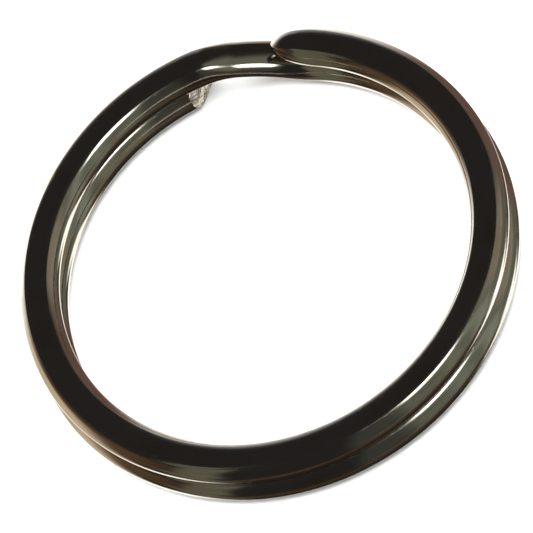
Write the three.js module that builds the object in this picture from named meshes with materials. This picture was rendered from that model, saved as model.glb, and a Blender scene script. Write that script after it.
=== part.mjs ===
// Split key ring: one length of flattened spring-steel wire, coiled a little under two turns.
//
// The ring is elastic all the way round, so it is laid out as consecutive stretches of its wire. Each stretch
// ends at a flexure, a place where the wire bends and twists when one of its two ends is prised open.
//
// Frame: millimetres, +Z along the ring's axis, origin at the ring's centre on the surface that it rests on,
// azimuth counted from +X towards +Y. The wire is followed by its winding angle in degrees, from 0 at the
// upper tip, round the upper coil, down the crossover and round the lower coil to the lower tip. The winding
// runs clockwise seen from above.

import * as THREE from "three";

// Driving dimensions, in millimetres.
const OUTER_DIAMETER = 25.0;
const WIRE_WIDTH = 2.0;
const WIRE_HEIGHT = 1.6;
const LAND_WIDTH = 0.5;
const COIL_GAP = 0.06;
const UPPER_COIL_INSET = 0.07;
const CROSSOVER_HEIGHT = 1.1;
const FLEXURE_GAP = 0.06;

// Driving angles, in degrees of winding unless they say otherwise.
const UPPER_TIP_AZIMUTH = 60;
const WIRE_END = 703.25;
const CROSSOVER_START = 340;
const CROSSOVER_END = 370;
const CROSSOVER_THINNING = 8;
const UPPER_FLEXURES = 10;
const LOWER_FLEXURES = 10;

// The upper tip is a round-nosed bullet, and the lower tip is an oblique shear cut.
const NOSE_LENGTH = 12.5;
const NOSE_THINNING = 8;
const NOSE_START = 0.15;
const NOSE_END_HEIGHT = 0.4;
const CUT_PER_RADIAL_MM = 3.7;
const CUT_PER_AXIAL_MM = 1.2;

// Fineness of the faceted surface.
const ARC_STEPS = 5;
const RINGS_PER_STRETCH = 8;
const NOSE_RINGS = 7;
const CROSSOVER_RAMP_CORNER = 0.2;

const LOWER_RADIUS = (OUTER_DIAMETER - WIRE_WIDTH) / 2;
const UPPER_RADIUS = LOWER_RADIUS - UPPER_COIL_INSET;
const LOWER_LEVEL = WIRE_HEIGHT / 2;
const UPPER_LEVEL = LOWER_LEVEL + WIRE_HEIGHT + COIL_GAP;
const GAP_ANGLE = THREE.MathUtils.radToDeg(FLEXURE_GAP / LOWER_RADIUS);

// A straight ramp from 0 to 1 whose two corners are rounded by parabolas.
function roundedRamp(t) {
  const corner = CROSSOVER_RAMP_CORNER;
  const slope = 1 / (1 - corner);
  if (t <= 0) {
    return 0;
  }
  if (t >= 1) {
    return 1;
  }
  if (t < corner) {
    return (slope * t * t) / (2 * corner);
  }
  if (t > 1 - corner) {
    return 1 - (slope * (1 - t) * (1 - t)) / (2 * corner);
  }
  return slope * (t - corner / 2);
}

// Height of a quarter ellipse, from 0 at its end to 1 where it has run its length.
function quarterEllipse(distance, length) {
  const left = 1 - Math.min(distance / length, 1);
  return Math.sqrt(1 - left * left);
}

// The wire's centre and half sizes at a winding angle.
function wireAt(angle) {
  const descent = roundedRamp((angle - CROSSOVER_START) / (CROSSOVER_END - CROSSOVER_START));
  const thinIn = THREE.MathUtils.smoothstep(angle, CROSSOVER_START, CROSSOVER_START + CROSSOVER_THINNING);
  const thinOut = THREE.MathUtils.smoothstep(angle, CROSSOVER_END - CROSSOVER_THINNING, CROSSOVER_END);
  const thinning = thinIn - thinOut;
  const noseHeight = NOSE_END_HEIGHT + (1 - NOSE_END_HEIGHT) * quarterEllipse(angle, NOSE_THINNING);
  return {
    azimuth: THREE.MathUtils.degToRad(UPPER_TIP_AZIMUTH - angle),
    radius: THREE.MathUtils.lerp(UPPER_RADIUS, LOWER_RADIUS, descent),
    level: THREE.MathUtils.lerp(UPPER_LEVEL, LOWER_LEVEL, descent),
    halfWidth: (WIRE_WIDTH / 2) * quarterEllipse(angle, NOSE_LENGTH),
    halfHeight: (THREE.MathUtils.lerp(WIRE_HEIGHT, CROSSOVER_HEIGHT, thinning) / 2) * noseHeight,
  };
}

// Outline of the wire's section, as [radial, axial] offsets: a flat land above and below, joined by elliptical
// sides, counter-clockwise when the radial direction points right and the axial direction points up.
function sectionOutline(halfWidth, halfHeight) {
  const land = (LAND_WIDTH / WIRE_WIDTH) * halfWidth;
  const outline = [];
  const addSide = (side, firstTurn) => {
    for (let step = 0; step <= 2 * ARC_STEPS; step += 1) {
      const turn = firstTurn + (Math.PI * step) / (2 * ARC_STEPS);
      outline.push([side * land + (halfWidth - land) * Math.cos(turn), halfHeight * Math.sin(turn)]);
    }
  };
  addSide(1, -Math.PI / 2);
  addSide(-1, Math.PI / 2);
  return outline;
}

// One closed outline standing in the radial plane at a winding angle. The shear cut lets the winding angle vary
// across the section.
function ringAt(angle, isCut) {
  const wire = wireAt(angle);
  return sectionOutline(wire.halfWidth, wire.halfHeight).map(([radial, axial]) => {
    const setBack = isCut ? CUT_PER_RADIAL_MM * (wire.halfWidth - radial) + CUT_PER_AXIAL_MM * axial : 0;
    const azimuth = wire.azimuth + THREE.MathUtils.degToRad(setBack);
    const radius = wire.radius + radial;
    return new THREE.Vector3(radius * Math.cos(azimuth), radius * Math.sin(azimuth), wire.level + axial);
  });
}

// Closed solid through a row of outlines, with a flat cap on each end.
function loft(rings) {
  const size = rings[0].length;
  const points = rings.flat();
  const faces = [];
  for (let ring = 0; ring + 1 < rings.length; ring += 1) {
    for (let corner = 0; corner < size; corner += 1) {
      const a = ring * size + corner;
      const b = ring * size + ((corner + 1) % size);
      faces.push(a, b, a + size);
      faces.push(b, b + size, a + size);
    }
  }
  const addCap = (ring, facesForward) => {
    const hub = points.length;
    const first = ring * size;
    const sum = rings[ring].reduce((total, point) => total.add(point), new THREE.Vector3());
    points.push(sum.divideScalar(size));
    for (let corner = 0; corner < size; corner += 1) {
      const a = first + corner;
      const b = first + ((corner + 1) % size);
      faces.push(hub, ...(facesForward ? [a, b] : [b, a]));
    }
  };
  addCap(0, false);
  addCap(rings.length - 1, true);
  const geometry = new THREE.BufferGeometry().setFromPoints(points);
  geometry.setIndex(faces);
  geometry.computeVertexNormals();
  return geometry;
}

// Evenly spaced winding angles, both ends included.
function spaced(from, to, steps) {
  return Array.from({ length: steps + 1 }, (unused, step) => from + ((to - from) * step) / steps);
}

const springSteel = new THREE.MeshStandardMaterial({
  name: "nickel_plated_spring_steel",
  color: 0xb9b3a6,
  roughness: 0.16,
  metalness: 1.0,
});

function stretch(name, angles, cutLast = false) {
  const rings = angles.map((angle, place) => ringAt(angle, cutLast && place === angles.length - 1));
  const mesh = new THREE.Mesh(loft(rings), springSteel);
  mesh.name = name;
  return mesh;
}

const keyRing = new THREE.Group();
keyRing.name = "split_key_ring";

// Flexures stand at even steps round each coil, and the crossover lies between the two runs.
const upperStep = CROSSOVER_START / UPPER_FLEXURES;
const lowerStep = (WIRE_END - CROSSOVER_END) / LOWER_FLEXURES;
const insideGap = GAP_ANGLE / 2;

const noseAngles = spaced(0, Math.PI / 2, NOSE_RINGS).map(
  (turn) => NOSE_START + (NOSE_LENGTH - NOSE_START) * (1 - Math.cos(turn)),
);
const tipAngles = spaced(NOSE_LENGTH, upperStep - insideGap, RINGS_PER_STRETCH / 2).slice(1);
keyRing.add(stretch("upper_tip", [...noseAngles, ...tipAngles]));

for (let place = 1; place < UPPER_FLEXURES; place += 1) {
  const start = place * upperStep + insideGap;
  const end = (place + 1) * upperStep - insideGap;
  keyRing.add(stretch(`upper_coil_${place}`, spaced(start, end, RINGS_PER_STRETCH)));
}

keyRing.add(
  stretch(
    "crossover",
    spaced(CROSSOVER_START + insideGap, CROSSOVER_END - insideGap, 2 * RINGS_PER_STRETCH),
  ),
);

for (let place = 1; place < LOWER_FLEXURES; place += 1) {
  const start = CROSSOVER_END + (place - 1) * lowerStep + insideGap;
  const end = CROSSOVER_END + place * lowerStep - insideGap;
  keyRing.add(stretch(`lower_coil_${place}`, spaced(start, end, RINGS_PER_STRETCH)));
}

// The shear cut slants back by up to this much winding, so the last whole section stands further back.
const cutDepth = CUT_PER_RADIAL_MM * WIRE_WIDTH + CUT_PER_AXIAL_MM * WIRE_HEIGHT;
const lowerTipStart = WIRE_END - lowerStep + insideGap;
keyRing.add(
  stretch("lower_tip", [...spaced(lowerTipStart, WIRE_END - cutDepth, RINGS_PER_STRETCH - 2), WIRE_END], true),
);

export default keyRing;
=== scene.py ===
"""The looks of the split key ring: one length of flattened, nickel-plated spring wire, coiled a little under
two turns, on a plain pale floor.

The wire is followed by its winding angle in degrees, as in the CAD model: 0 at the upper tip, round the
upper coil, down the crossover, and round the lower coil to the lower tip. It is made of smooth lengths that
meet end to end. Each length reaches from the middle of one CAD stretch to the middle of the next, over the
one flexure between them.
"""

import math

import bpy
import numpy as np
from mathutils import Matrix, Vector


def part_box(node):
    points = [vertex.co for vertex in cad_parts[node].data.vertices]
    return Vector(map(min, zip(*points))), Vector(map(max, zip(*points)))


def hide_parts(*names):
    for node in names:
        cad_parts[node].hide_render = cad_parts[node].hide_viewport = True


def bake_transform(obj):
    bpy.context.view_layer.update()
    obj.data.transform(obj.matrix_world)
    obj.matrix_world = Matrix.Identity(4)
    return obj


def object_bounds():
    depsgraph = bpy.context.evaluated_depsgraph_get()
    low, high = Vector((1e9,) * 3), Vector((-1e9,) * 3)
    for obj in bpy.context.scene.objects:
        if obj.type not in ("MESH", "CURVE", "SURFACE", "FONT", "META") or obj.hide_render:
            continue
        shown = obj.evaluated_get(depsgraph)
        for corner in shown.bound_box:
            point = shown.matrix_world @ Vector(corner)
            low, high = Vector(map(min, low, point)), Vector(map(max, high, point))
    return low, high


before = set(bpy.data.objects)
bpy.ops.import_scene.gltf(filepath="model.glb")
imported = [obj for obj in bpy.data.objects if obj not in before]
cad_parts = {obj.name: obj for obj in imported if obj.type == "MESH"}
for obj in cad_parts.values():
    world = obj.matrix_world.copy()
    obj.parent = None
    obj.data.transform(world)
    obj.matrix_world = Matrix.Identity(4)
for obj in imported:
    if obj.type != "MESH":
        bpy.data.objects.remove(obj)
cad_low, cad_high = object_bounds()

MM = 0.001

# Winding angles of the CAD model, in degrees.
UPPER_TIP_AZIMUTH = 60.0
WIRE_END = 703.25
CROSSOVER_START = 340.0
CROSSOVER_END = 370.0
UPPER_FLEXURES = 10
LOWER_FLEXURES = 10

# The coils' places come from the frame, in metres.
WIRE_WIDTH = 2.0 * MM
UPPER_COIL_INSET = 0.07 * MM
LOWER_RADIUS = (cad_high.x - cad_low.x - WIRE_WIDTH) / 2
UPPER_RADIUS = LOWER_RADIUS - UPPER_COIL_INSET
lower_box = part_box("lower_coil_5")
upper_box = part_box("upper_coil_5")
WIRE_HEIGHT = lower_box[1].z - lower_box[0].z
LOWER_LEVEL = (lower_box[0].z + lower_box[1].z) / 2
UPPER_LEVEL = (upper_box[0].z + upper_box[1].z) / 2

# Section of the wire: slightly crowned lands above and below, domed sides, and a small round on each corner
# between them. The slants are the angles above the horizon that the surface faces at the ends of that round.
CORNER_RADIUS = 0.08 * MM
LAND_END_SLANT = math.radians(73)
SIDE_END_SLANT = math.radians(62)

# The crossover is drawn thinner and its two bends are rounded.
CROSSOVER_HEIGHT = 1.1 * MM
CROSSOVER_THINNING = 11.0
CROSSOVER_RAMP_CORNER = 0.3

# The upper tip is a round-nosed bullet.
NOSE_LENGTH = 12.5
NOSE_THINNING = 8.0
NOSE_END_HEIGHT = 0.14

# The lower tip is an oblique shear cut, longest on its outer side, in degrees of winding per metre.
CUT_PER_RADIAL = 3.7 / MM
CUT_PER_AXIAL = 1.2 / MM

# Share of the torn relief that is lost at the rim of the cut.
RIM_CALM = 0.55

# Fineness of the mesh.
DEGREES_PER_RING = 1.0
SIDE_STEPS = 36
CORNER_STEPS = 8
LAND_STEPS = 12
NOSE_RINGS = 30
NOSE_FIRST_TURN = 0.02
CUT_RINGS = 14
CUT_CIRCLES = 16

# Small enough to matter to no direction, and not zero, so that it can be divided by.
NO_LENGTH = 1e-20

# Camera, in degrees and metres.
CAMERA_ELEVATION = 57.36
CAMERA_ROLL = 32.27
CAMERA_DISTANCE = 600 * MM
CAMERA_LENS = 831.0
CAMERA_SENSOR = 36.0
AIM_RIGHT = -0.084 * MM
AIM_UP = -0.263 * MM


# ---------------------------------------------------------------- shape of the wire

def smoothstep(value, low, high):
    t = np.clip((value - low) / (high - low), 0.0, 1.0)
    return t * t * (3 - 2 * t)


def rounded_ramp(t):
    """A straight ramp from 0 to 1 whose two corners are rounded by parabolas."""
    t = np.clip(t, 0.0, 1.0)
    corner = CROSSOVER_RAMP_CORNER
    slope = 1 / (1 - corner)
    first = slope * t * t / (2 * corner)
    last = 1 - slope * (1 - t) ** 2 / (2 * corner)
    return np.where(t < corner, first, np.where(t > 1 - corner, last, slope * (t - corner / 2)))


def quarter_ellipse(distance, length):
    """Height of a quarter ellipse, from 0 at its end to 1 where it has run its length."""
    left = 1 - np.clip(distance / length, 0.0, 1.0)
    return np.sqrt(np.clip(1 - left * left, 0.0, 1.0))


def wire_at(angle):
    """Azimuth, radius, level, half width and half height of the wire at winding angles."""
    descent = rounded_ramp((angle - CROSSOVER_START) / (CROSSOVER_END - CROSSOVER_START))
    thinning = smoothstep(angle, CROSSOVER_START, CROSSOVER_START + CROSSOVER_THINNING)
    thinning = thinning - smoothstep(angle, CROSSOVER_END - CROSSOVER_THINNING, CROSSOVER_END)
    nose_height = NOSE_END_HEIGHT + (1 - NOSE_END_HEIGHT) * quarter_ellipse(angle, NOSE_THINNING)
    azimuth = np.radians(UPPER_TIP_AZIMUTH - angle)
    radius = UPPER_RADIUS + (LOWER_RADIUS - UPPER_RADIUS) * descent
    level = UPPER_LEVEL + (LOWER_LEVEL - UPPER_LEVEL) * descent
    half_width = WIRE_WIDTH / 2 * quarter_ellipse(angle, NOSE_LENGTH)
    half_height = (WIRE_HEIGHT + (CROSSOVER_HEIGHT - WIRE_HEIGHT) * thinning) / 2 * nose_height
    return azimuth, radius, level, half_width, half_height


def section_outline():
    """The full section as [radial, axial] offsets and the [radial, axial] direction along the outline."""
    half_width, half_height = WIRE_WIDTH / 2, WIRE_HEIGHT / 2
    steep, gentle = SIDE_END_SLANT, LAND_END_SLANT
    # The three arcs of a quarter section touch without a kink, which settles the land's and the side's radii.
    land_radius, side_radius = np.linalg.solve(
        [[math.cos(gentle), 1 - math.cos(steep)], [1 - math.sin(gentle), math.sin(steep)]],
        [half_width + CORNER_RADIUS * (math.cos(gentle) - math.cos(steep)),
         half_height + CORNER_RADIUS * (math.sin(steep) - math.sin(gentle))],
    )
    corner_radial = (land_radius - CORNER_RADIUS) * math.cos(gentle)
    corner_axial = half_height - land_radius + (land_radius - CORNER_RADIUS) * math.sin(gentle)
    points, along = [], []

    def add_arc(centre_radial, centre_axial, radius, start, end, steps):
        for angle in np.linspace(start, end, steps + 1)[:-1]:
            across, up = math.cos(angle), math.sin(angle)
            points.append([centre_radial + radius * across, centre_axial + radius * up])
            along.append([-up, across])

    for facing, side in ((0, 1), (math.pi, -1)):
        radial, axial = side * corner_radial, side * corner_axial
        side_centre, land_centre = side * (half_width - side_radius), side * (half_height - land_radius)
        opposite = facing + math.pi
        add_arc(side_centre, 0, side_radius, facing - steep, facing + steep, SIDE_STEPS)
        add_arc(radial, axial, CORNER_RADIUS, facing + steep, facing + gentle, CORNER_STEPS)
        add_arc(0, land_centre, land_radius, facing + gentle, opposite - gentle, LAND_STEPS)
        add_arc(-radial, axial, CORNER_RADIUS, opposite - gentle, opposite - steep, CORNER_STEPS)
    return np.array(points), np.array(along)


OUTLINE, ALONG_OUTLINE = section_outline()


def surface(angle, offsets):
    """Points of the wire's surface. The angles' shape and the offsets' leading shape agree."""
    azimuth, radius, level, half_width, half_height = wire_at(angle)
    radial = offsets[..., 0] * half_width / (WIRE_WIDTH / 2)
    axial = offsets[..., 1] * half_height / (WIRE_HEIGHT / 2)
    reach = radius + radial
    return np.stack([reach * np.cos(azimuth), reach * np.sin(azimuth), level + axial], axis=-1)


def surface_normals(angle, offsets, along):
    """Outward directions square to the surface, from its two directions."""
    turn_step = 0.01
    outline_step = 1e-3 * along * WIRE_WIDTH
    lengthwise = surface(angle - turn_step, offsets) - surface(angle + turn_step, offsets)
    around = surface(angle, offsets + outline_step) - surface(angle, offsets - outline_step)
    normals = np.cross(lengthwise, around)
    return -normals / np.maximum(np.linalg.norm(normals, axis=-1, keepdims=True), NO_LENGTH)


def fracture(radial, axial):
    """Relief of the torn steel on the shear cut, in degrees of winding: three tilted facets and grain."""
    x, z = radial / (WIRE_WIDTH / 2), axial / (WIRE_HEIGHT / 2)
    outer_facet = 0.55 * x - 0.3 * z - 0.15
    upper_facet = -0.5 * x + 0.55 * z
    lower_facet = -0.75 * z - 0.2 * x - 0.1
    facets = np.maximum(outer_facet, np.maximum(upper_facet, lower_facet))
    ridges = 0.16 * np.abs(np.sin(4.1 * x + 2.3 * z)) + 0.08 * np.sin(9.7 * x - 6.1 * z)
    grain = 0.03 * np.sin(31 * x + 17 * z) + 0.03 * np.sin(23 * x - 37 * z)
    return 1.1 * facets + ridges + grain


def cut_setback(radial, axial):
    """How far the shear cut stands back from the wire's end, in degrees of winding."""
    slant = CUT_PER_RADIAL * (WIRE_WIDTH / 2 - radial) + CUT_PER_AXIAL * axial
    near_rim = np.maximum(np.abs(radial) / (WIRE_WIDTH / 2), np.abs(axial) / (WIRE_HEIGHT / 2))
    depth = fracture(radial, axial) * (1 - RIM_CALM * smoothstep(near_rim, 0.6, 1.0))
    return np.maximum(slant + depth, 0.0)


# ---------------------------------------------------------------- lengths of wire

class Mesh:
    """Gathers the points, faces and corner normals of one closed length of wire."""

    def __init__(self):
        self.points, self.places, self.bare = [], [], []
        self.faces, self.smooth, self.normals = [], [], []

    def add_points(self, points, places, bare):
        first = sum(len(group) for group in self.points)
        self.points.append(points)
        self.places.append(places)
        self.bare.append(np.full(len(points), bare))
        return first

    def add_face(self, corners, normals, smooth=True):
        self.faces.append(corners)
        self.smooth.append(smooth)
        self.normals.extend(normals)

    def finish(self, name):
        mesh = bpy.data.meshes.new(name)
        mesh.from_pydata(np.concatenate(self.points).tolist(), [], self.faces)
        mesh.polygons.foreach_set("use_smooth", self.smooth)
        place = mesh.attributes.new("wire_place", "FLOAT_VECTOR", "POINT")
        place.data.foreach_set("vector", np.concatenate(self.places).astype(np.float32).ravel())
        bare = mesh.attributes.new("bare_steel", "FLOAT", "POINT")
        bare.data.foreach_set("value", np.concatenate(self.bare).astype(np.float32))
        mesh.normals_split_custom_set([tuple(normal) for normal in self.normals])
        piece = bpy.data.objects.new(name, mesh)
        bpy.context.scene.collection.objects.link(piece)
        return piece


def wire_places(angle, offsets):
    """Where points are on the wire, in millimetres: distance along it, then radial and axial offset."""
    distance = np.radians(angle) * LOWER_RADIUS
    return np.stack([distance, offsets[..., 0], offsets[..., 1]], axis=-1).reshape(-1, 3) / MM


def add_rings(mesh, angles):
    """Rings of the section at winding angles, joined by quads. Each row of angles is one ring."""
    size = len(OUTLINE)
    offsets = np.broadcast_to(OUTLINE, (len(angles), size, 2))
    along = np.broadcast_to(ALONG_OUTLINE, offsets.shape)
    points = surface(angles, offsets)
    normals = surface_normals(angles, offsets, along)
    first = mesh.add_points(points.reshape(-1, 3), wire_places(angles, offsets), 0.0)
    for ring in range(len(angles) - 1):
        for corner in range(size):
            after = (corner + 1) % size
            corners = [(ring, corner), (ring + 1, corner), (ring + 1, after), (ring, after)]
            mesh.add_face([first + r * size + c for r, c in corners], [normals[r, c] for r, c in corners])
    return first, points


def add_flat_cap(mesh, first, points, outward):
    """Closes one end of a length with a flat fan."""
    size = len(points)
    hub = mesh.add_points(points.mean(axis=0, keepdims=True), np.zeros((1, 3)), 0.0)
    for corner in range(size):
        after = (corner + 1) % size
        a, b = first + corner, first + after
        across = np.cross(points[corner] - points.mean(axis=0), points[after] - points.mean(axis=0))
        order = [hub, a, b] if np.dot(across, outward) > 0 else [hub, b, a]
        mesh.add_face(order, [outward] * 3, smooth=False)


def add_cut_face(mesh, last_first):
    """Closes the lower tip with the torn face of the shear cut, as circles that shrink towards its middle."""
    size = len(OUTLINE)
    firsts = [last_first]
    for circle in range(1, CUT_CIRCLES):
        shrink = 1 - circle / CUT_CIRCLES
        offsets = OUTLINE * shrink
        angle = WIRE_END - cut_setback(offsets[:, 0], offsets[:, 1])
        firsts.append(mesh.add_points(surface(angle, offsets), wire_places(angle, offsets), 1.0))
    middle = np.zeros((1, 2))
    angle = WIRE_END - cut_setback(middle[:, 0], middle[:, 1])
    hub = mesh.add_points(surface(angle, middle), wire_places(angle, middle), 1.0)
    points = np.concatenate(mesh.points)
    triangles = []
    for outer, inner in zip(firsts[:-1], firsts[1:]):
        for corner in range(size):
            after = (corner + 1) % size
            triangles.append((outer + corner, inner + corner, inner + after))
            triangles.append((outer + corner, inner + after, outer + after))
    for corner in range(size):
        triangles.append((firsts[-1] + corner, hub, firsts[-1] + (corner + 1) % size))
    for a, b, c in triangles:
        flat = np.cross(points[b] - points[a], points[c] - points[a])
        flat /= max(np.linalg.norm(flat), NO_LENGTH)
        mesh.add_face([a, b, c], [flat] * 3, smooth=False)


def end_direction(angle):
    """The direction of growing winding angle."""
    azimuth = math.radians(UPPER_TIP_AZIMUTH - angle)
    return np.array([math.sin(azimuth), -math.cos(azimuth), 0.0])


def make_length(name, start, end):
    """One closed length of wire between two winding angles."""
    mesh = Mesh()
    size = len(OUTLINE)
    is_upper_tip = start <= 0
    is_lower_tip = end >= WIRE_END
    if is_upper_tip:
        nose_turns = np.linspace(NOSE_FIRST_TURN, math.pi / 2, NOSE_RINGS + 1)
        angles = list(NOSE_LENGTH * (1 - np.cos(nose_turns)))
        start = angles[-1]
    else:
        angles = [start]
    cut_depth = CUT_PER_RADIAL * WIRE_WIDTH + CUT_PER_AXIAL * WIRE_HEIGHT
    straight_end = WIRE_END - cut_depth if is_lower_tip else end
    steps = math.ceil((straight_end - start) / DEGREES_PER_RING)
    angles += list(np.linspace(start, straight_end, steps + 1)[1:])
    rings = np.repeat(np.array(angles)[:, None], size, axis=1)
    if is_lower_tip:
        cut_angles = WIRE_END - cut_setback(OUTLINE[:, 0], OUTLINE[:, 1])
        shares = np.linspace(0, 1, CUT_RINGS + 1)[1:, None]
        rings = np.concatenate([rings, straight_end + shares * (cut_angles - straight_end)])
    first, points = add_rings(mesh, rings)
    add_flat_cap(mesh, first, points[0], -end_direction(angles[0]))
    last_first = first + (len(rings) - 1) * size
    if is_lower_tip:
        add_cut_face(mesh, last_first)
    else:
        add_flat_cap(mesh, last_first, points[-1], end_direction(angles[-1]))
    return mesh.finish(name)


def make_wire(material):
    """The whole wire. Every length reaches over the flexure between the two stretches that it covers."""
    upper_step = CROSSOVER_START / UPPER_FLEXURES
    lower_step = (WIRE_END - CROSSOVER_END) / LOWER_FLEXURES
    upper_names = ["upper_tip", *[f"upper_coil_{place}" for place in range(1, UPPER_FLEXURES)]]
    lower_names = [*[f"lower_coil_{place}" for place in range(1, LOWER_FLEXURES)], "lower_tip"]
    stretches = [*upper_names, "crossover", *lower_names]
    flexures = [upper_step * place for place in range(1, UPPER_FLEXURES + 1)]
    flexures += [CROSSOVER_END + lower_step * place for place in range(LOWER_FLEXURES)]
    edges = [0.0, *flexures, WIRE_END]
    middles = [(edges[place] + edges[place + 1]) / 2 for place in range(len(stretches))]
    for place, flexure in enumerate(flexures):
        before, after = stretches[place], stretches[place + 1]
        is_first, is_last = place == 0, place == len(flexures) - 1
        start = 0.0 if is_first else middles[place]
        end = WIRE_END if is_last else middles[place + 1]
        if is_first:
            name = "wire_upper_end"
        elif is_last:
            name = "wire_lower_end"
        else:
            name = f"wire_{before}_to_{after}"
        piece = make_length(name, start, end)
        piece.data.materials.append(material)
        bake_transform(piece)
        stands_for = [before, after] if is_last else [before]
        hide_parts(*stands_for)


# ---------------------------------------------------------------- node helpers

class Tree:
    """Short calls for building a node tree."""

    def __init__(self, tree):
        self.tree = tree
        tree.nodes.clear()

    def add(self, kind, settings=None, inputs=None):
        node = self.tree.nodes.new(kind)
        for key, value in (settings or {}).items():
            setattr(node, key, value)
        for key, value in (inputs or {}).items():
            if isinstance(value, bpy.types.NodeSocket):
                self.tree.links.new(value, node.inputs[key])
            else:
                node.inputs[key].default_value = value
        return node

    def math(self, operation, first, second=0.0, third=0.0):
        settings = {"operation": operation}
        return self.add("ShaderNodeMath", settings, {0: first, 1: second, 2: third}).outputs[0]

    def fade(self, value, low, high, at_low=0.0, at_high=1.0):
        """A smooth change from at_low to at_high as the value goes from low to high."""
        settings = {"interpolation_type": "SMOOTHSTEP"}
        inputs = {"Value": value, "From Min": low, "From Max": high, "To Min": at_low, "To Max": at_high}
        return self.add("ShaderNodeMapRange", settings, inputs).outputs["Result"]

    def mix(self, share, first, second):
        node = self.add("ShaderNodeMix", {"data_type": "RGBA"}, {"Factor": share})
        for socket, value in ((node.inputs[6], first), (node.inputs[7], second)):
            if isinstance(value, bpy.types.NodeSocket):
                self.tree.links.new(value, socket)
            else:
                socket.default_value = (*value, 1.0)
        return node.outputs[2]

    def noise(self, vector, scale, detail=3.0, roughness=0.5):
        inputs = {"Vector": vector, "Scale": scale, "Detail": detail, "Roughness": roughness}
        return self.add("ShaderNodeTexNoise", None, inputs).outputs["Fac"]

    def stretched(self, vector, scale, turn=(0.0, 0.0, 0.0)):
        inputs = {"Vector": vector, "Rotation": turn, "Scale": scale}
        return self.add("ShaderNodeMapping", None, inputs).outputs["Vector"]


# ---------------------------------------------------------------- nickel plate

# Colours are linear.
CLEAN_NICKEL = (0.700, 0.655, 0.580)
WARM_NICKEL = (0.610, 0.530, 0.415)
WORN_NICKEL = (0.760, 0.730, 0.680)
TORN_STEEL = (0.800, 0.760, 0.690)
DUSTY_SPECK = (0.300, 0.270, 0.230)
TARNISH_SHARE = 0.75
WEAR_SHARE = 0.6
SPECK_SHARE = 0.65

# Roughness between and on the drawing marks, and what each other mark adds to it.
POLISH = (0.075, 0.135)
ADDED_ROUGHNESS = {"tarnish": 0.035, "blotches": 0.03, "wear": 0.08, "scratches": 0.10, "bare": 0.16}

# Height of each mark, as a share of the relief's depth.
RELIEF_DEPTH = 0.0012 * MM
RELIEF = {
    "drawing_marks": 0.55,
    "fine_marks": 0.12,
    "scratches": -0.5,
    "pits": -1.2,
    "waves": 5.0,
    "torn_grain": 8.0,
}


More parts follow.
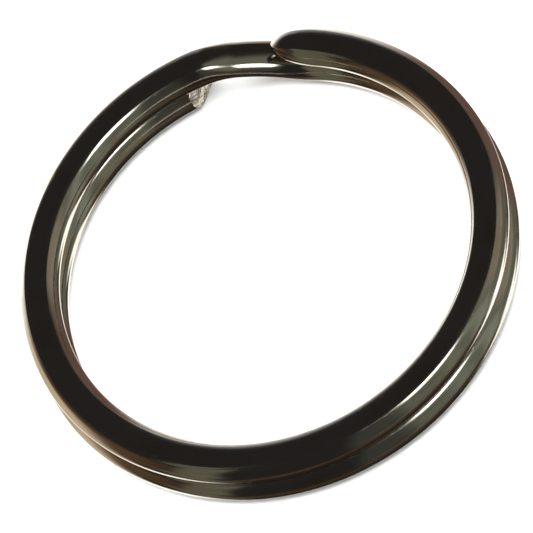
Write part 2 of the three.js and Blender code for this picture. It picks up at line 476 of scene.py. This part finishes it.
def nickel_plate():
    """Polished nickel with drawing marks, scattered scratches, small pits, patchy tarnish and worn edges."""
    material = bpy.data.materials.new("nickel_plate")
    material.use_nodes = True
    t = Tree(material.node_tree)
    place = t.add("ShaderNodeAttribute", {"attribute_name": "wire_place"}).outputs["Vector"]
    bare = t.add("ShaderNodeAttribute", {"attribute_name": "bare_steel"}).outputs["Fac"]
    parts = t.add("ShaderNodeSeparateXYZ", None, {"Vector": place})
    radial, axial = parts.outputs["Y"], parts.outputs["Z"]

    # Places on the wire are in millimetres, so the scales of noise are in features per millimetre.
    marks = {"bare": bare}
    marks["tarnish"] = t.fade(t.noise(place, 0.45, 4.0, 0.6), 0.38, 0.72)
    marks["blotches"] = t.fade(t.noise(place, 2.6, 3.0, 0.55), 0.55, 0.75)
    marks["drawing_marks"] = t.noise(t.stretched(place, (0.10, 9.0, 9.0)), 1.0, 4.0, 0.6)
    marks["fine_marks"] = t.noise(t.stretched(place, (0.35, 34.0, 34.0)), 1.0, 2.0, 0.5)
    lengthwise = t.noise(t.stretched(place, (1.1, 26.0, 26.0), (0.3, 0.5, 0.45)), 1.0, 2.0)
    crosswise = t.noise(t.stretched(place, (21.0, 1.3, 21.0), (0.2, 0.4, -0.35)), 1.0, 2.0)
    marks["scratches"] = t.math("MAXIMUM", t.fade(lengthwise, 0.69, 0.74), t.fade(crosswise, 0.70, 0.75))
    pit_cells = t.add("ShaderNodeTexVoronoi", {"feature": "F1"}, {"Vector": place, "Scale": 3.2})
    pit_share = t.fade(t.noise(place, 1.7, 1.0), 0.50, 0.66)
    pit_spots = t.fade(pit_cells.outputs["Distance"], 0.06, 0.13, 1.0, 0.0)
    marks["pits"] = t.math("MULTIPLY", pit_spots, pit_share)
    marks["waves"] = t.noise(place, 0.55, 1.0)
    marks["torn_grain"] = t.math("MULTIPLY", t.noise(place, 14.0, 4.0, 0.7), bare)

    # The wire wears along its outer side and on the corners of its lands.
    outer_rub = t.fade(radial, 0.82, 0.99)
    corner_rub = t.fade(t.math("ABSOLUTE", axial), 0.66, 0.76)
    corner_rub = t.math("MULTIPLY", corner_rub, t.fade(t.math("ABSOLUTE", radial), 0.40, 0.52))
    rubbing = t.math("MAXIMUM", outer_rub, corner_rub)
    marks["wear"] = t.math("MULTIPLY", rubbing, t.fade(t.noise(place, 1.3, 4.0, 0.65), 0.42, 0.68))

    colour = t.mix(t.math("MULTIPLY", marks["tarnish"], TARNISH_SHARE), CLEAN_NICKEL, WARM_NICKEL)
    colour = t.mix(t.math("MULTIPLY", marks["wear"], WEAR_SHARE), colour, WORN_NICKEL)
    colour = t.mix(t.math("MULTIPLY", marks["pits"], SPECK_SHARE), colour, DUSTY_SPECK)
    colour = t.mix(bare, colour, t.mix(t.noise(place, 5.0, 4.0, 0.7), TORN_STEEL, WARM_NICKEL))

    roughness = t.fade(marks["drawing_marks"], 0.30, 0.75, *POLISH)
    for mark, share in ADDED_ROUGHNESS.items():
        roughness = t.math("MULTIPLY_ADD", marks[mark], share, roughness)
    relief = 0.0
    for mark, share in RELIEF.items():
        relief = t.math("MULTIPLY_ADD", marks[mark], share, relief)
    bump = t.add("ShaderNodeBump", None, {"Strength": 1.0, "Distance": RELIEF_DEPTH, "Height": relief})

    shader = t.add("ShaderNodeBsdfPrincipled", None, {"Metallic": 1.0})
    t.tree.links.new(colour, shader.inputs["Base Color"])
    t.tree.links.new(roughness, shader.inputs["Roughness"])
    t.tree.links.new(bump.outputs["Normal"], shader.inputs["Normal"])
    output = t.add("ShaderNodeOutputMaterial")
    t.tree.links.new(shader.outputs["BSDF"], output.inputs["Surface"])
    return material


# ---------------------------------------------------------------- studio

# What the metal reflects: soft areas of the studio by direction. Each row has the range of azimuth from +X
# towards +Y, the range of elevation, how wide each range's edges fade, all in degrees, and the linear colour.
DARK_ROOM = (0.019, 0.018, 0.018)
DARK_ROOM_HAZE = (0.0247, 0.0234, 0.0234)
MOTTLED_SHARE = 0.82
STUDIO = {
    "grey_green_wall": ((266, 378), (-34, 70), (18, 14), (0.150, 0.160, 0.130)),
    "dark_post": ((262, 282), (-30, 60), (10, 16), (0.060, 0.060, 0.054)),
    "window_left": ((302, 312), (-26, 44), (8, 18), (0.200, 0.220, 0.180)),
    "window_right": ((320, 332), (-30, 48), (8, 18), (0.250, 0.270, 0.220)),
    "tan_corner": ((338, 372), (6, 44), (14, 16), (0.300, 0.260, 0.205)),
    "red_brown_door": ((12, 58), (-46, 24), (16, 18), (0.170, 0.110, 0.092)),
    "olive_stripe_high": ((186, 202), (32, 68), (7, 10), (0.140, 0.140, 0.106)),
    "olive_stripe": ((197, 212), (-24, 44), (6, 12), (0.165, 0.165, 0.125)),
    "olive_stripe_low": ((188, 206), (-56, -16), (7, 12), (0.150, 0.145, 0.105)),
    "orange_brown_shelf": ((128, 192), (-30, 24), (24, 24), (0.110, 0.068, 0.038)),
    "brown_table_edge": ((206, 338), (-56, -38), (14, 8), (0.085, 0.050, 0.026)),
    "beige_card": ((100, 166), (-56, 6), (22, 20), (0.720, 0.590, 0.430)),
    "white_sweep": ((62, 130), (-68, 14), (28, 40), (1.900, 1.900, 1.900)),
    "blue_light": ((62, 86), (4, 30), (12, 18), (0.400, 0.430, 0.500)),
    "white_table": ((-20, 176), (-68, -54), (16, 6), (1.700, 1.650, 1.550)),
    "white_card": ((338, 360), (-62, -32), (10, 8), (1.900, 1.880, 1.820)),
    "key_light": ((290, 320), (50, 64), (12, 8), (4.600, 4.900, 4.800)),
}

# The light over the floor, in metres and watts.
OVERHEAD_PLACE = (0.0, 0.25, 1.3)
OVERHEAD_SIZE = 1.9
OVERHEAD_WATTS = 84.0


def make_surroundings():
    world = bpy.data.worlds.new("studio")
    bpy.context.scene.world = world
    world.use_nodes = True
    t = Tree(world.node_tree)
    direction = t.add("ShaderNodeTexCoord").outputs["Generated"]
    parts = t.add("ShaderNodeSeparateXYZ", None, {"Vector": direction})
    x, y, z = (parts.outputs[axis] for axis in "XYZ")
    azimuth = t.math("MULTIPLY", t.math("ARCTAN2", y, x), 180 / math.pi)
    elevation = t.math("MULTIPLY", t.math("ARCSINE", z), 180 / math.pi)

    def inside(value, value_range, fading):
        half = (value_range[1] - value_range[0]) / 2
        return t.fade(t.math("ABSOLUTE", value), half - fading / 2, half + fading / 2, 1.0, 0.0)

    mottling = t.noise(direction, 3.0, 3.0)
    colour = t.mix(mottling, DARK_ROOM, DARK_ROOM_HAZE)
    for turn_range, height_range, fading, shade in STUDIO.values():
        turned = t.math("SUBTRACT", azimuth, (turn_range[0] + turn_range[1]) / 2)
        turned = t.math("WRAP", turned, 180.0, -180.0)
        raised = t.math("SUBTRACT", elevation, (height_range[0] + height_range[1]) / 2)
        turned_share = inside(turned, turn_range, fading[0])
        raised_share = inside(raised, height_range, fading[1])
        share = t.math("MULTIPLY", turned_share, raised_share)
        darker = tuple(MOTTLED_SHARE * part for part in shade)
        colour = t.mix(share, colour, t.mix(t.fade(mottling, 0.35, 0.65), darker, shade))
    background = t.add("ShaderNodeBackground", None, {"Strength": 1.0})
    t.tree.links.new(colour, background.inputs["Color"])
    output = t.add("ShaderNodeOutputWorld")
    t.tree.links.new(background.outputs["Background"], output.inputs["Surface"])


def paper():
    """Matt white paper with a faint cloudiness and tooth."""
    material = bpy.data.materials.new("paper")
    material.use_nodes = True
    t = Tree(material.node_tree)
    place = t.add("ShaderNodeTexCoord").outputs["Object"]
    cloud = t.noise(place, 9.0, 3.0)
    colour = t.mix(cloud, (0.915, 0.915, 0.915), (0.935, 0.935, 0.930))
    tooth = t.noise(place, 5200.0, 3.0)
    bump = t.add("ShaderNodeBump", None, {"Strength": 0.15, "Distance": 0.02 * MM, "Height": tooth})
    roughness = t.fade(cloud, 0.3, 0.7, 0.85, 0.95)
    shader = t.add("ShaderNodeBsdfPrincipled", None, {"Specular IOR Level": 0.2})
    t.tree.links.new(colour, shader.inputs["Base Color"])
    t.tree.links.new(roughness, shader.inputs["Roughness"])
    t.tree.links.new(bump.outputs["Normal"], shader.inputs["Normal"])
    output = t.add("ShaderNodeOutputMaterial")
    t.tree.links.new(shader.outputs["BSDF"], output.inputs["Surface"])
    return material


def make_floor():
    """A round paper floor that curves up into a wall all the way round."""
    floor_radius, bend_radius, wall_height = 1.6, 0.5, 1.4
    around, bend_steps = 96, 16
    profile = [(floor_radius * share, 0.0) for share in (0.05, 0.3, 0.65, 1.0)]
    for step in range(1, bend_steps + 1):
        turn = math.pi / 2 * step / bend_steps
        reach = floor_radius + bend_radius * math.sin(turn)
        profile.append((reach, bend_radius * (1 - math.cos(turn))))
    profile.append((floor_radius + bend_radius, wall_height))
    level = cad_low.z
    points = [(0.0, 0.0, level)]
    for reach, height in profile:
        for place in range(around):
            turn = 2 * math.pi * place / around
            points.append((reach * math.cos(turn), reach * math.sin(turn), level + height))
    faces = [(0, 1 + place, 1 + (place + 1) % around) for place in range(around)]
    for ring in range(len(profile) - 1):
        for place in range(around):
            a = 1 + ring * around + place
            b = 1 + ring * around + (place + 1) % around
            faces.append((a, a + around, b + around, b))
    mesh = bpy.data.meshes.new("floor")
    mesh.from_pydata(points, [], faces)
    for polygon in mesh.polygons:
        polygon.use_smooth = True
    mesh.materials.append(paper())
    floor = bpy.data.objects.new("floor", mesh)
    bpy.context.scene.collection.objects.link(floor)
    floor.visible_glossy = False


def make_light(name, place, size, watts):
    """A square soft light that shines on the ring's surroundings and isn't seen in the metal."""
    light = bpy.data.lights.new(name, "AREA")
    light.shape = "SQUARE"
    light.size = size
    light.energy = watts
    lamp = bpy.data.objects.new(name, light)
    lamp.location = place
    lamp.rotation_euler = (-Vector(place)).to_track_quat("-Z", "Y").to_euler()
    lamp.visible_glossy = False
    bpy.context.scene.collection.objects.link(lamp)


def make_camera():
    elevation, roll = math.radians(CAMERA_ELEVATION), math.radians(CAMERA_ROLL)
    towards = Vector((0, -math.cos(elevation), math.sin(elevation)))
    level_right = Vector((1, 0, 0))
    level_up = Vector((0, math.sin(elevation), math.cos(elevation)))
    right = math.cos(roll) * level_right - math.sin(roll) * level_up
    up = math.sin(roll) * level_right + math.cos(roll) * level_up
    data = bpy.data.cameras.new("camera")
    data.lens = CAMERA_LENS
    data.sensor_width = CAMERA_SENSOR
    data.clip_start, data.clip_end = 0.01, 10.0
    camera = bpy.data.objects.new("camera", data)
    aim = (cad_low + cad_high) / 2 + AIM_RIGHT * right + AIM_UP * up
    place = aim + CAMERA_DISTANCE * towards
    axes = Matrix((right, up, towards)).transposed().to_4x4()
    camera.matrix_world = Matrix.Translation(place) @ axes
    bpy.context.scene.collection.objects.link(camera)
    bpy.context.scene.camera = camera


bpy.context.scene.view_settings.view_transform = "Standard"
make_camera()
make_surroundings()
make_floor()
make_light("overhead_light", OVERHEAD_PLACE, OVERHEAD_SIZE, OVERHEAD_WATTS)
make_wire(nickel_plate())
